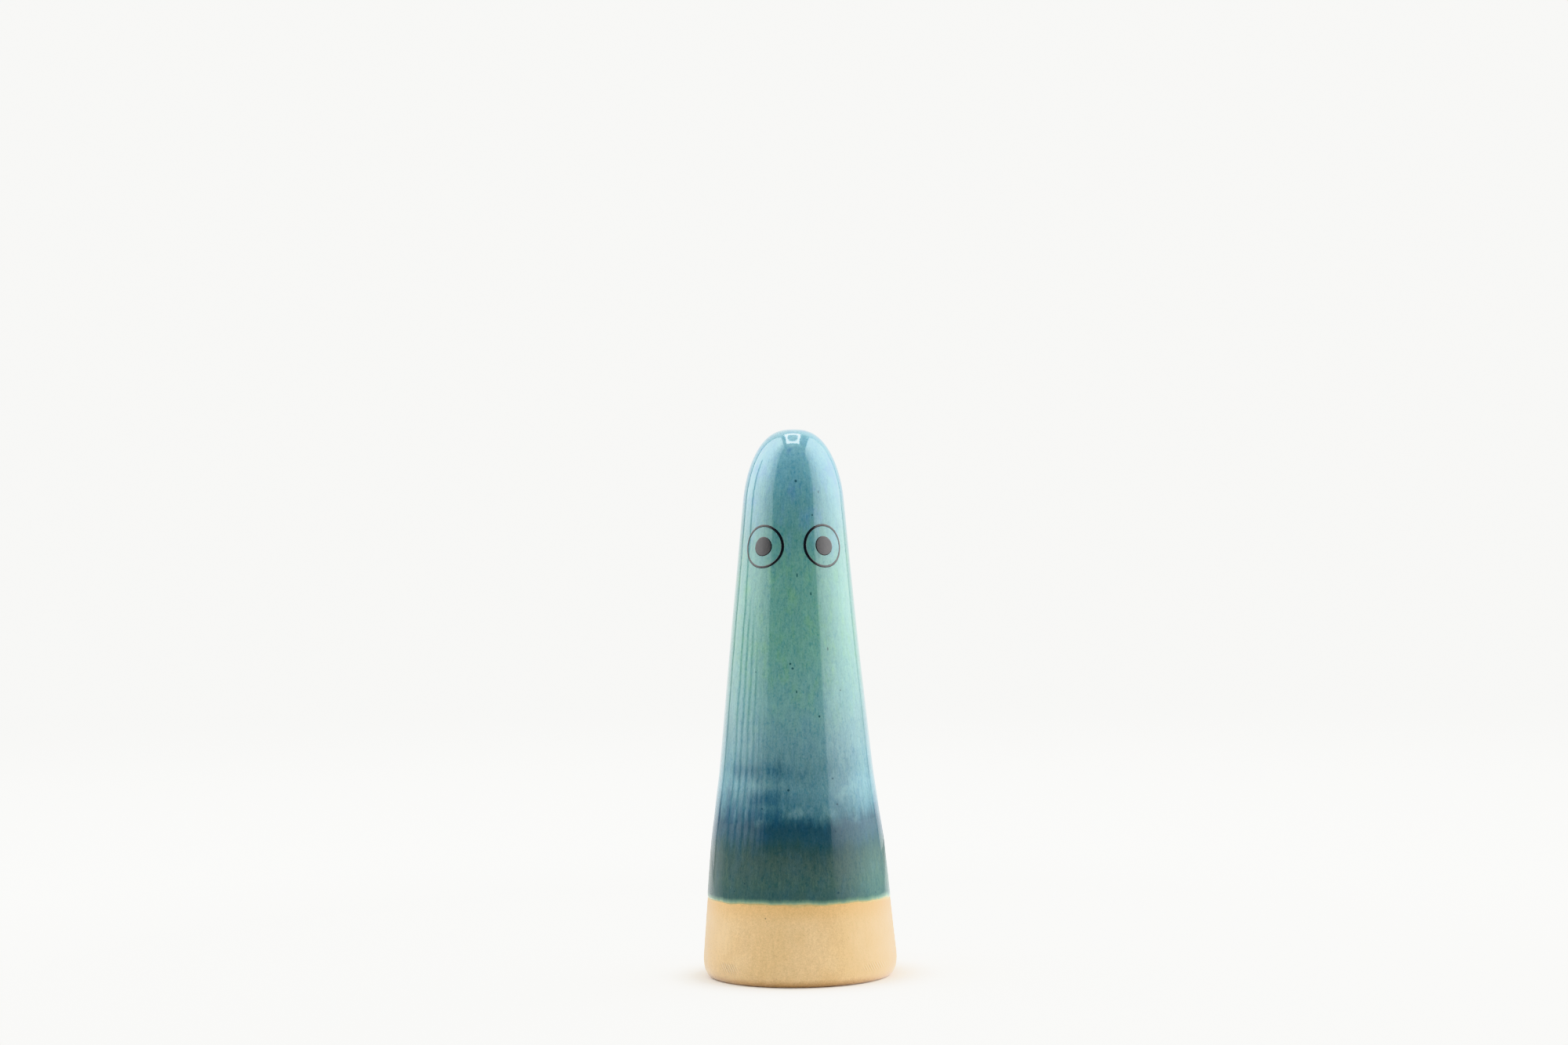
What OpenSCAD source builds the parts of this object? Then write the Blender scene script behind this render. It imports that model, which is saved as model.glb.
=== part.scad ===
// Kokeshi-style standing figure in glazed stoneware.
// A hollow, round-topped cone thrown in buff clay, dipped twice in coloured glaze,
// with two ring-and-dot eyes fired on as decals. It stands on its bare clay foot.
// Origin: centre of the foot's resting plane. +Z is up and the eyes face -Y. Millimetres.

/* [Overall shape] */
// Height of the bare clay figure
clay_h = 119.7; // [110:0.1:128]
// Radius that the foot's straight side would reach at the resting plane
foot_r = 21.67; // [18:0.01:25]
// Inward lean of the foot's side, in mm per mm of height
foot_taper = 0.093; // [0.04:0.001:0.13]
// Radius that the upper side would reach at the height of the dome's start
neck_r = 10.8; // [9:0.05:13]
// Inward lean of the upper side, in mm per mm of height
neck_taper = 0.098; // [0.05:0.001:0.12]

/* [Hip between foot and upper side] */
// Height where the foot's line starts to bend towards the upper line
hip_low = 27.5; // [22:0.5:36]
// Height where the upper line is reached
hip_high = 46; // [40:0.5:60]

/* [Domed head] */
// Height where the dome starts to curve in
dome_start = 104.5; // [96:0.5:106]
// How late the dome starts to curve (2 is an ellipse)
dome_shoulder = 2.1; // [2:0.05:3.5]
// How blunt the crown is (2 is an ellipse)
dome_crown = 2.7; // [2:0.05:3]

/* [Rounded foot edge] */
// How far the edge draws in at the resting plane
edge_w = 2.45; // [1:0.05:3]
// Height of the rounded edge
edge_h = 4.8; // [2:0.1:6]

/* [Hollow inside] */
// Clay wall, from the outside to the hollow
wall = 4.2; // [3:0.1:5]
// Clay floor under the hollow
floor_t = 5; // [3.5:0.1:7]
// Diameter of the vent hole through the floor
vent_d = 8; // [6:0.5:12]

/* [Glaze coats] */
// Height of the lower edge of the first, dark green coat
base_glaze_z = 17.5; // [12:0.1:22]
// Thickness of the first coat
base_glaze_t = 0.15; // [0.1:0.01:0.4]
// Height of the lower edge of the second, blue-green coat
over_glaze_z = 31.5; // [26:0.1:40]
// Thickness of the second coat
over_glaze_t = 0.15; // [0.1:0.01:0.4]

/* [Eyes] */
// Height of the eyes' centres
eye_z = 94.3; // [84:0.1:97]
// Angle of each eye to the side of straight ahead, in degrees
eye_angle = 33.4; // [28:0.1:38]
// Outer diameter of the drawn ring
ring_d = 9.6; // [7:0.1:10]
// Width of the ring's line
ring_line = 0.62; // [0.4:0.01:1]
// Diameter of the pupil's dot
pupil_d = 4.3; // [3:0.1:5]
// Thickness of the fired decals
decal_t = 0.08; // [0.05:0.01:0.15]

/* [Hidden] */

$fn = 96;
// Spacing of the outline's points: even up the side, finer round the foot's edge and the dome
side_step = 3;
edge_steps = 8;
dome_steps = 22;
// Small step used to find the outline's slope
dz = 0.001;
// How far a cutter runs past the solid that it cuts
over = 1;
// Spare skin above and below the eyes in the band that they are cut from
eye_spare = 2;
// Half the height of that band
eye_band = ring_d / 2 + eye_spare;
// Height where the hollow's side starts, above its rounded floor corner
hollow_corner = 3;

// 0 at and above the hip's top, 1 at and below its foot, and smooth between
function hip(z) =
    let (t = min(1, max(0, (hip_high - z) / (hip_high - hip_low))))
    t * t * (3 - 2 * t);

// Radius of the side before the foot's edge and the dome are rounded
function side_r(z) =
    let (low = foot_r - foot_taper * z)
    let (high = neck_r + neck_taper * (dome_start - z))
    high + (low - high) * hip(z);

// How far the foot's edge draws in
function edge_in(z) =
    z >= edge_h ? 0 : edge_w * (1 - sqrt(1 - pow(1 - z / edge_h, 2)));

// 1 below the dome, falling to 0 at its crown
function dome(z) =
    let (t = min(1, max(0, (z - dome_start) / (clay_h - dome_start))))
    pow(1 - pow(t, dome_shoulder), 1 / dome_crown);

// Radius of the bare clay
function clay_r(z) = (side_r(z) - edge_in(z)) * dome(z);

// Unit normal of the clay's outline, as [outward, up]
function clay_normal(z) =
    let (low = max(0, z - dz))
    let (high = min(clay_h - dz, z + dz))
    let (slope = [clay_r(high) - clay_r(low), high - low])
    [slope[1], -slope[0]] / norm(slope);

// Point of the outline, moved out along its normal; the crown stays on the axis
function skin_point(z, out) =
    z >= clay_h - dz ? [0, clay_h + out] : [clay_r(z), z] + out * clay_normal(z);

// Heights from low to high, evenly spaced and no wider than a step
function rise(low, high, step) =
    let (n = ceil((high - low) / step))
    [for (i = [0 : n - 1]) low + (high - low) * i / n];

// Heights round the dome: close together near the crown, where the outline turns fastest
function dome_heights() =
    [for (i = [0 : dome_steps]) dome_start + (clay_h - dome_start) * sin(90 * i / dome_steps)];

// Heights of a coat's outline from its lower edge to the crown
function coat_heights(low) = concat(rise(low, dome_start, side_step), dome_heights());

// Heights of the clay's outline: the rounded edge, the side up to each glaze line, the dome
function clay_heights() = concat(
    [for (i = [0 : edge_steps - 1]) edge_h * (1 - cos(90 * i / edge_steps))],
    rise(edge_h, base_glaze_z, side_step),
    rise(base_glaze_z, over_glaze_z, side_step),
    coat_heights(over_glaze_z)
);

// Outline of the skin from a height to the crown, moved out from the clay
function skin(heights, out) = [for (z = heights) skin_point(z, out)];

function reversed(list) = [for (i = [len(list) - 1 : -1 : 0]) list[i]];

// Coat of even thickness from a lower edge up over the crown.
// Its inner outline repeats the heights of what it covers, so the two meet face to face.
module coat(heights, under, thickness) {
    rotate_extrude()
        polygon(concat(
            skin(heights, under + thickness),
            reversed(skin(heights, under))
        ));
}

// Hollow inside the clay: it follows the outside, a wall's thickness in
module hollow() {
    inside = [
        for (z = concat(rise(floor_t + hollow_corner, dome_start, side_step * 2), dome_heights()))
            skin_point(z, -wall)
    ];
    corner_r = inside[0][0] - hollow_corner;
    corner = [
        for (a = [0 : 18 : 72])
            [corner_r + hollow_corner * sin(a), floor_t + hollow_corner * (1 - cos(a))]
    ];
    rotate_extrude()
        polygon(concat([[0, floor_t]], corner, inside));
}

module stoneware_body() {
    color("#d4b586")
        difference() {
            rotate_extrude()
                polygon(concat([[0, 0]], skin(clay_heights(), 0)));
            hollow();
            translate([0, 0, -over])
                cylinder(h = floor_t + 2 * over, d = vent_d);
        }
}

module base_glaze() {
    heights = concat(rise(base_glaze_z, over_glaze_z, side_step), coat_heights(over_glaze_z));
    color("#38534f")
        coat(heights, 0, base_glaze_t);
}

module over_glaze() {
    color("#6a9d9a")
        coat(coat_heights(over_glaze_z), base_glaze_t, over_glaze_t);
}

// Thin band of skin on the outer glaze, tall enough to cut the eyes from
module eye_skin() {
    glaze_t = base_glaze_t + over_glaze_t;
    heights = [
        for (z = coat_heights(over_glaze_z))
            if (abs(z - eye_z) < eye_band + side_step) z
    ];
    rotate_extrude()
        polygon(concat(
            skin(heights, glaze_t + decal_t),
            reversed(skin(heights, glaze_t))
        ));
}

// Places its children on the eye's centre, with +Z along the surface's normal there.
// side is 1 for the figure's left, which is +X, and -1 for its right.
module at_eye(side) {
    tilt = acos(clay_normal(eye_z)[1]);
    rotate([0, 0, -90 + side * eye_angle])
        translate([clay_r(eye_z), 0, eye_z])
            rotate([0, tilt, 0])
                children();
}

// Part of the skin inside a circle drawn square to the surface
module decal(side, d) {
    intersection() {
        eye_skin();
        at_eye(side)
            translate([0, 0, -ring_d / 2])
                cylinder(h = ring_d, d = d);
    }
}

module eye_ring(side) {
    color("#1c1f22")
        difference() {
            decal(side, ring_d);
            at_eye(side)
                translate([0, 0, -ring_d])
                    cylinder(h = 2 * ring_d, d = ring_d - 2 * ring_line);
        }
}

module pupil(side) {
    color("#1c1f22")
        decal(side, pupil_d);
}

module left_eye_ring() {
    eye_ring(1);
}

module left_pupil() {
    pupil(1);
}

module right_eye_ring() {
    eye_ring(-1);
}

module right_pupil() {
    pupil(-1);
}

stoneware_body();
base_glaze();
over_glaze();
left_eye_ring();
left_pupil();
right_eye_ring();
right_pupil();
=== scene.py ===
"""Kokeshi-style stoneware figure: the visual model and its studio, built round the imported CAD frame.

Everything is in metres in the CAD's own frame: the figure stands on z = 0 and its eyes face -Y.
Azimuths on the figure are in degrees from straight ahead, positive towards +X.
"""
import math

import bpy
import numpy as np
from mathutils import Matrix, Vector

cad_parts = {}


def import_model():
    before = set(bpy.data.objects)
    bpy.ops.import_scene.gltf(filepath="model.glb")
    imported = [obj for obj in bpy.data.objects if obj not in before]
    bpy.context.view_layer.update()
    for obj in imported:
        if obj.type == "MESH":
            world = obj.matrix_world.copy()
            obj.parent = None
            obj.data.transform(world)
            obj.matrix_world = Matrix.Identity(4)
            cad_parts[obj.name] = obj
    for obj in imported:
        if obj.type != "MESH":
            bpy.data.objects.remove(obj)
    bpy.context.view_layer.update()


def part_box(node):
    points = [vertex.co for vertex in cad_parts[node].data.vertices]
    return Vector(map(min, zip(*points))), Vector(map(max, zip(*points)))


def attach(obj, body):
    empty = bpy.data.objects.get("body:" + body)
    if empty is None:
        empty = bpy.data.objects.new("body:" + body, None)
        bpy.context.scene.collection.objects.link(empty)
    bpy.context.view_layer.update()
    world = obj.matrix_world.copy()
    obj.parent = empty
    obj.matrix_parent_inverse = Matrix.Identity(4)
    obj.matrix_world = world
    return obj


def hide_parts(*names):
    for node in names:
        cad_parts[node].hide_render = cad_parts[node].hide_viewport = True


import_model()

MM = 0.001
scene = bpy.context.scene
scene.view_settings.view_transform = "Khronos PBR Neutral"


# ---------------------------------------------------------------- figure's driving dimensions

# The clay's outline, as part.scad builds it
CLAY_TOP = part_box("stoneware_body")[1].z
FOOT_R = 21.67 * MM
FOOT_TAPER = 0.093
NECK_R = 10.8 * MM
NECK_TAPER = 0.098
HIP_LOW = 27.5 * MM
HIP_HIGH = 46 * MM
DOME_START = 104.5 * MM
DOME_SHOULDER = 2.1
DOME_CROWN = 2.7
EDGE_W = 2.45 * MM
EDGE_H = 4.8 * MM
WALL = 4.2 * MM
FLOOR_T = 5 * MM
HOLLOW_CORNER = 3 * MM
VENT_R = 4 * MM

# The coats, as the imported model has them
BASE_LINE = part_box("base_glaze")[0].z
OVER_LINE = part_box("over_glaze")[0].z
BASE_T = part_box("base_glaze")[1].z - CLAY_TOP
OVER_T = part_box("over_glaze")[1].z - CLAY_TOP - BASE_T
GLAZE_T = BASE_T + OVER_T

# Columns of points round the figure, rows over its dome, and the last row's gap to the tip
AROUND = 288
DOME_ROWS = 45
TIP_GAP = 0.0004 * MM


def hip(z):
    """1 at and below the hip's foot, 0 at and above its top, and smooth between."""
    t = np.clip((HIP_HIGH - z) / (HIP_HIGH - HIP_LOW), 0, 1)
    return t * t * (3 - 2 * t)


def clay_radius(z):
    """Radius of the ideal clay outline at each height."""
    low = FOOT_R - FOOT_TAPER * z
    high = NECK_R + NECK_TAPER * (DOME_START - z)
    side = high + (low - high) * hip(z)
    edge = np.clip(1 - z / EDGE_H, 0, 1)
    side = side - EDGE_W * (1 - np.sqrt(1 - edge**2))
    t = np.clip((z - DOME_START) / (CLAY_TOP - DOME_START), 0, 1)
    return side * (1 - t**DOME_SHOULDER) ** (1 / DOME_CROWN)


def outline_normal(z):
    """Outward and upward parts of the ideal outline's unit normal at each height."""
    step = 0.002 * MM
    low = np.maximum(z - step, 0)
    high = np.minimum(z + step, CLAY_TOP)
    run = clay_radius(high) - clay_radius(low)
    length = np.hypot(run, high - low)
    return (high - low) / length, -run / length


def waves(azimuth, z, parts):
    """Sum of slow waves round and up the figure; each part is size, turns, rise, phase."""
    total = np.zeros_like(azimuth + z)
    for size, turns, rise, phase in parts:
        total = total + size * np.sin(turns * azimuth + z / rise + phase)
    return total


# Handmade unevenness of the thrown wall: size, turns round the figure, height per radian, phase
WALL_WAVES = (
    (0.050 * MM, 1, 21 * MM, 0.4),
    (0.040 * MM, 2, 13 * MM, 2.1),
    (0.018 * MM, 3, 9 * MM, 4.0),
    (0.010 * MM, 5, 5 * MM, 1.2),
    (0.006 * MM, 0, 3.1 * MM, 0.9),
)
# The unevenness grows over these heights, down from the crown and up from the resting face
CROWN_FADE = 12 * MM
FOOT_FADE = 6 * MM
# How far the figure bows towards its own right at half height
BOW = 0.28 * MM


def skin(azimuth, z, out):
    """Points of the figure's skin, moved out along the outline's normal. azimuth is in radians."""
    away, up = outline_normal(z)
    below_crown = np.clip((CLAY_TOP - z) / CROWN_FADE, 0, 1)
    above_foot = np.clip(z / FOOT_FADE, 0, 1)
    uneven = waves(azimuth, z, WALL_WAVES) * below_crown * above_foot
    r = clay_radius(z) + away * out + uneven
    bow = BOW * np.sin(math.pi * z / CLAY_TOP)
    return np.stack(
        [r * np.sin(azimuth) - bow, -r * np.cos(azimuth), z + up * out + 0 * azimuth], axis=-1
    )


# ---------------------------------------------------------------- mesh helpers


def new_object(name, points, faces):
    """A smooth-shaded mesh object whose faces look outward."""
    mesh = bpy.data.meshes.new(name)
    mesh.from_pydata(points, [], faces)
    mesh.update()
    if signed_volume(mesh) < 0:
        mesh.flip_normals()
    mesh.polygons.foreach_set("use_smooth", [True] * len(mesh.polygons))
    obj = bpy.data.objects.new(name, mesh)
    scene.collection.objects.link(obj)
    return obj


def signed_volume(mesh):
    """Six times the enclosed volume; it is negative when the faces look inward."""
    mesh.calc_loop_triangles()
    xyz = np.array([v.co for v in mesh.vertices])
    tri = np.array([t.vertices for t in mesh.loop_triangles])
    a, b, c = xyz[tri[:, 0]], xyz[tri[:, 1]], xyz[tri[:, 2]]
    return float(np.einsum("ij,ij->i", a, np.cross(b, c)).sum())


def closed_strip(name, rings, start, end):
    """A closed solid from a stack of rings of points, shut with a pole at each end."""
    count = rings[0].shape[0]
    points = [tuple(start)]
    for ring in rings:
        points.extend(map(tuple, ring))
    points.append(tuple(end))
    last = len(points) - 1
    faces = []
    for k in range(count):
        n = (k + 1) % count
        faces.append((0, 1 + n, 1 + k))
        for i in range(len(rings) - 1):
            a, b = 1 + i * count, 1 + (i + 1) * count
            faces.append((a + k, a + n, b + n, b + k))
        a = 1 + (len(rings) - 1) * count
        faces.append((a + k, a + n, last))
    return new_object(name, points, faces)


def tag_rise(obj, rises):
    """Keeps each point's height above its glaze line as the mesh's own rise attribute."""
    rise = obj.data.attributes.new("rise", "FLOAT", "POINT")
    rise.data.foreach_set("value", np.asarray(rises, dtype=np.float32))
    return obj


def azimuths(count):
    """Even turns round a circle, in radians."""
    return np.arange(count) * (2 * math.pi / count)


def skin_heights(low, high, step):
    """Heights from low to high, a step apart along the side and closer over the dome."""
    side = np.arange(low, min(high, DOME_START), step)
    turn = np.linspace(0, math.pi / 2, DOME_ROWS + 1)[:-1]
    dome = DOME_START + (CLAY_TOP - DOME_START) * np.sin(turn)
    return np.concatenate([side, dome, [CLAY_TOP - TIP_GAP]])


def add_piece(obj, material, slot, *nodes):
    """The piece rides on the figure's one body, stands for its CAD nodes and takes its material."""
    obj.data.materials.append(material)
    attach(obj, "root")
    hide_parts(*nodes)
    return obj


# ---------------------------------------------------------------- material helpers


# A patch fades out between these shares of its half width
PATCH_CORE = 0.55
PATCH_EDGE = 1.25


class Nodes:
    """Short ways to add nodes to one material's tree."""

    def __init__(self, name):
        self.material = bpy.data.materials.new(name)
        self.material.use_nodes = True
        self.tree = self.material.node_tree
        self.shader = self.tree.nodes["Principled BSDF"]
        self.place = self.add("ShaderNodeTexCoord").outputs["Object"]
        split = self.add("ShaderNodeSeparateXYZ")
        self.link(self.place, split.inputs[0])
        self.x, _, self.z = split.outputs

    def add(self, kind, **settings):
        node = self.tree.nodes.new(kind)
        for key, value in settings.items():
            setattr(node, key, value)
        return node

    def link(self, source, target):
        """Joins a socket to the target, or sets the target to a plain value."""
        if hasattr(source, "is_output"):
            self.tree.links.new(source, target)
        else:
            target.default_value = source

    def math(self, operation, *values):
        node = self.add("ShaderNodeMath", operation=operation)
        for value, socket in zip(values, node.inputs):
            self.link(value, socket)
        return node.outputs[0]

    def vector(self, operation, *values):
        node = self.add("ShaderNodeVectorMath", operation=operation)
        for value, socket in zip(values, node.inputs):
            self.link(value, socket)
        return node.outputs["Value" if operation == "LENGTH" else "Vector"]

    def ramp(self, value, low, high, to_low=0.0, to_high=1.0, smooth=True):
        """to_low up to the value low, to_high from the value high, and a slope between."""
        shape = "SMOOTHSTEP" if smooth else "LINEAR"
        node = self.add("ShaderNodeMapRange", interpolation_type=shape)
        self.link(value, node.inputs["Value"])
        node.inputs["From Min"].default_value = low
        node.inputs["From Max"].default_value = high
        node.inputs["To Min"].default_value = to_low
        node.inputs["To Max"].default_value = to_high
        return node.outputs["Result"]

    def band(self, value, start, full, fade, end, beyond=0.0):
        """1 from full to fade, 0 up to start, and beyond from end."""
        rising = self.ramp(value, start, full)
        return self.math("MULTIPLY", rising, self.ramp(value, fade, end, 1.0, beyond))

    def mix(self, factor, a, b):
        """Colour a where the factor is 0 and colour b where it is 1."""
        node = self.add("ShaderNodeMix", data_type="RGBA")
        self.link(factor, node.inputs[0])
        self.link(a, node.inputs[6])
        self.link(b, node.inputs[7])
        return node.outputs[2]

    def noise(self, scale, detail=2.0, roughness=0.5):
        """Noise from about 0 to 1. scale is in features per metre along x, y and z."""
        grow = self.vector("MULTIPLY", self.place, scale)
        node = self.add("ShaderNodeTexNoise", noise_dimensions="3D")
        self.link(grow, node.inputs["Vector"])
        node.inputs["Scale"].default_value = 1.0
        node.inputs["Detail"].default_value = detail
        node.inputs["Roughness"].default_value = roughness
        return node.outputs["Fac"]

    def rise(self):
        """Height above the glaze line, as tag_rise keeps it."""
        return self.add("ShaderNodeAttribute", attribute_name="rise").outputs["Fac"]

    def swing(self, value, amount):
        """Noise as a swing about 0, plus or minus the amount."""
        return self.math("MULTIPLY", self.math("SUBTRACT", value, 0.5), 2 * amount)

    def tint(self, colour, value, shift):
        """The colour times (1 + value * shift), channel by channel."""
        scale = self.vector("MULTIPLY_ADD", value, shift, (1, 1, 1))
        return self.vector("MULTIPLY", colour, scale)

    def patch(self, azimuth, height, wide, tall, ragged, core):
        """1 in an oval on the skin and 0 outside it; wide and tall are half widths in mm.

        It fades from core to PATCH_EDGE, as shares of the half width. ragged is noise in its edge.
        """
        away = self.vector("SUBTRACT", self.place, on_skin(azimuth, height))
        grow = (1 / (wide * MM), 1 / (wide * MM), 1 / (tall * MM))
        away = self.vector("MULTIPLY", away, grow)
        reach = self.math("ADD", self.vector("LENGTH", away), ragged)
        return self.ramp(reach, core, PATCH_EDGE, 1.0, 0.0)

    def patches(self, ovals, ragged=0.0, core=PATCH_CORE):
        """The strongest of several patches; each is azimuth, height, half width, half height."""
        total = 0.0
        for oval in ovals:
            total = self.math("MAXIMUM", total, self.patch(*oval, ragged, core))
        return total

    def specks(self, per_metre, core, edge):
        """1 in scattered dots out to the core's radius, and 0 from the edge's."""
        node = self.add("ShaderNodeTexVoronoi", feature="F1")
        self.link(self.place, node.inputs["Vector"])
        node.inputs["Scale"].default_value = per_metre
        return self.ramp(node.outputs["Distance"], core * per_metre, edge * per_metre, 1.0, 0.0)

    def colour_ramp(self, value, stops, interpolation="LINEAR"):
        """Colour by value; stops are (position, linear colour), from low to high."""
        node = self.add("ShaderNodeValToRGB")
        band = node.color_ramp
        band.interpolation = interpolation
        for element, (position, colour) in zip(band.elements, (stops[0], stops[-1])):
            element.position, element.color = position, colour
        for position, colour in stops[1:-1]:
            band.elements.new(position).color = colour
        self.link(value, node.inputs["Fac"])
        return node.outputs["Color"]

    def finish(self, colour, roughness, bumps=()):
        """Colour, roughness and a chain of (height, strength, distance) bumps into the shader."""
        self.link(colour, self.shader.inputs["Base Color"])
        self.link(roughness, self.shader.inputs["Roughness"])
        normal = None
        for height, strength, distance in bumps:
            bump = self.add("ShaderNodeBump")
            bump.inputs["Strength"].default_value = strength
            bump.inputs["Distance"].default_value = distance
            self.link(height, bump.inputs["Height"])
            if normal is not None:
                self.link(normal, bump.inputs["Normal"])
            normal = bump.outputs["Normal"]
        if normal is not None:
            self.link(normal, self.shader.inputs["Normal"])
        return self.material


def linear(value):
    """One sRGB channel out of 255 as scene-linear light."""
    v = value / 255
    return v / 12.92 if v <= 0.04045 else ((v + 0.055) / 1.055) ** 2.4


def rgb(r, g, b):
    """An sRGB colour out of 255 as the scene-linear colour that nodes take."""
    return (linear(r), linear(g), linear(b), 1.0)


def on_skin(azimuth, height):
    """A point on the glazed skin, azimuth in degrees and height in millimetres."""
    point = skin(np.array(math.radians(azimuth)), np.array(height * MM), GLAZE_T)
    return tuple(float(v) for v in point)


# ---------------------------------------------------------------- glaze


# Glaze colour by height in millimetres, as the eye would name it in plain light
GLAZE_STOPS = (
    (17, (82, 107, 102)),
    (22, (83, 107, 102)),
    (25, (84, 105, 101)),
    (28, (79, 99, 96)),
    (30, (66, 90, 92)),
    (32, (61, 88, 99)),
    (34.5, (56, 83, 97)),
    (38, (88, 126, 137)),
    (42, (106, 145, 154)),
    (46, (103, 141, 149)),
    (52, (114, 153, 159)),
    (60, (118, 162, 162)),
    (72, (113, 162, 152)),
    (86, (111, 160, 150)),
    (96, (101, 149, 145)),
    (104, (103, 152, 160)),
    (112, (115, 167, 181)),
    (120, (138, 187, 199)),
)
LOWEST_STOP, HIGHEST_STOP = GLAZE_STOPS[0][0], GLAZE_STOPS[-1][0]
COBALT = rgb(104, 145, 186)
MOSS = rgb(120, 172, 120)
SMUDGE = rgb(52, 90, 116)
WISP = rgb(158, 198, 200)
PINHOLE = rgb(36, 62, 76)
POOLED = rgb(62, 96, 110)
GREEN_RIM = rgb(128, 164, 138)
THIN_RIM = rgb(184, 178, 126)

GLAZE_IOR = 1.5
GLAZE_GLOSS_TINT = (0.75, 0.96, 1, 1)

# Smudges and pale wisps where the two coats overlap: azimuth, height, half width, half height
SMUDGES = (
    (-40, 45.8, 6.5, 3.0),
    (-17, 46.2, 4.2, 2.7),
    (-22, 40, 7, 2.6),
    (-26, 36.6, 9, 2.6),
    (-52, 37, 5, 4),
    (-56, 41, 1.6, 5),
    (-70, 38, 1.5, 6),
)
WISPS = (
    (-2, 37.2, 5.5, 1.6),
    (25, 36.8, 1.6, 1.5),
    (43, 35.6, 1.5, 1.6),
    (-34, 43, 1, 3),
    (-38, 50, 0.8, 2.6),
    (36, 40.5, 3, 2),
)
# The largest pinholes: azimuth, height, half width, half height
PINHOLES = (
    (3, 108.4, 0.32, 0.32),
    (21, 101, 0.22, 0.22),
    (30, 106, 0.15, 0.4),
    (3, 88, 0.15, 0.5),
    (16, 84, 0.18, 0.4),
    (30, 72, 0.18, 0.45),
    (-4, 69, 0.24, 0.24),
    (-2, 68, 0.28, 0.28),
    (40, 63, 0.2, 0.2),
    (1, 63, 0.16, 0.35),
    (19, 57.6, 0.26, 0.26),
    (27, 44.2, 0.24, 0.2),
    (-6, 42, 0.28, 0.28),
    (29, 38.7, 0.25, 0.22),
    (-25, 38, 0.22, 0.22),
    (18, 34.3, 0.22, 0.3),
    (26, 33, 0.28, 0.25),
    (30, 32, 0.22, 0.22),
    (22, 26.5, 0.2, 0.25),
    (-36, 22, 0.24, 0.24),
    (-44, 20.2, 0.24, 0.24),
    (25, 20, 0.32, 0.3),
    (56, 19.2, 0.24, 0.24),
    (1, 18.5, 0.24, 0.3),
)


# The lower coat shows up to this height, in millimetres
BASE_SHOWS_TO = 34


def glaze(name, largest_pinholes):
    """Glossy glaze, dark green low down, blue-grey at the overlap and blue-green above."""
    n = Nodes(name)
    runs = n.noise((800, 800, 70), 3, 0.55)
    cloud = n.noise((330, 330, 170), 4, 0.62)
    height = wavering_height(n, runs)
    colour = colour_by_height(n, height)
    colour = upper_patches(n, colour, height, cloud)
    # Painted side light on the flanks
    colour = painted_flank_light(n, colour, height)
    colour = overlap_marks(n, colour, height, runs, cloud)
    colour = grain(n, colour)
    return n, pinholes(n, colour, largest_pinholes)


def wavering_height(n, runs):
    """Height on the figure with the drift that the glaze's run gave its bands."""
    slow = n.swing(n.noise((75, 75, 28), 2), 2.4 * MM)
    return n.math("ADD", n.z, n.math("ADD", slow, n.swing(runs, 2.2 * MM)))


def colour_by_height(n, height):
    """The glaze's colour from GLAZE_STOPS."""
    fraction = n.ramp(height, LOWEST_STOP * MM, HIGHEST_STOP * MM, smooth=False)
    span = HIGHEST_STOP - LOWEST_STOP
    stops = [((level - LOWEST_STOP) / span, rgb(*colour)) for level, colour in GLAZE_STOPS]
    return n.colour_ramp(fraction, stops)


def upper_patches(n, colour, height, cloud):
    """Cobalt clouds towards the crown and green-yellow patches on the upper side."""
    high = n.ramp(height, 84 * MM, 108 * MM, 0.05, 0.42)
    blue = n.math("MULTIPLY", n.ramp(cloud, 0.50, 0.68), high)
    colour = n.mix(blue, colour, COBALT)
    moss = n.ramp(n.noise((430, 430, 210), 4, 0.62), 0.48, 0.70)
    middle = n.band(height, 50 * MM, 66 * MM, 88 * MM, 102 * MM, 0.15)
    green = n.math("MULTIPLY", moss, n.math("MULTIPLY", middle, 0.30))
    return n.mix(green, colour, MOSS)


def painted_flank_light(n, colour, height):
    """Painted side light: lightens the lower glaze on both flanks, where the tent's side walls light
    it.

    On the figure's own right this stops above the lower coat.
    """
    aside = n.ramp(n.math("ABSOLUTE", n.x), 8 * MM, 17 * MM)
    flank = n.math("MULTIPLY", aside, n.ramp(height, 44 * MM, 57 * MM, 1, 0))
    own_left = n.ramp(n.x, -4 * MM, 4 * MM)
    lower = n.math("MAXIMUM", own_left, n.ramp(height, 24 * MM, 34 * MM))
    return n.tint(colour, n.math("MULTIPLY", flank, lower), (0.22, 0.32, 0.32))


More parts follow.
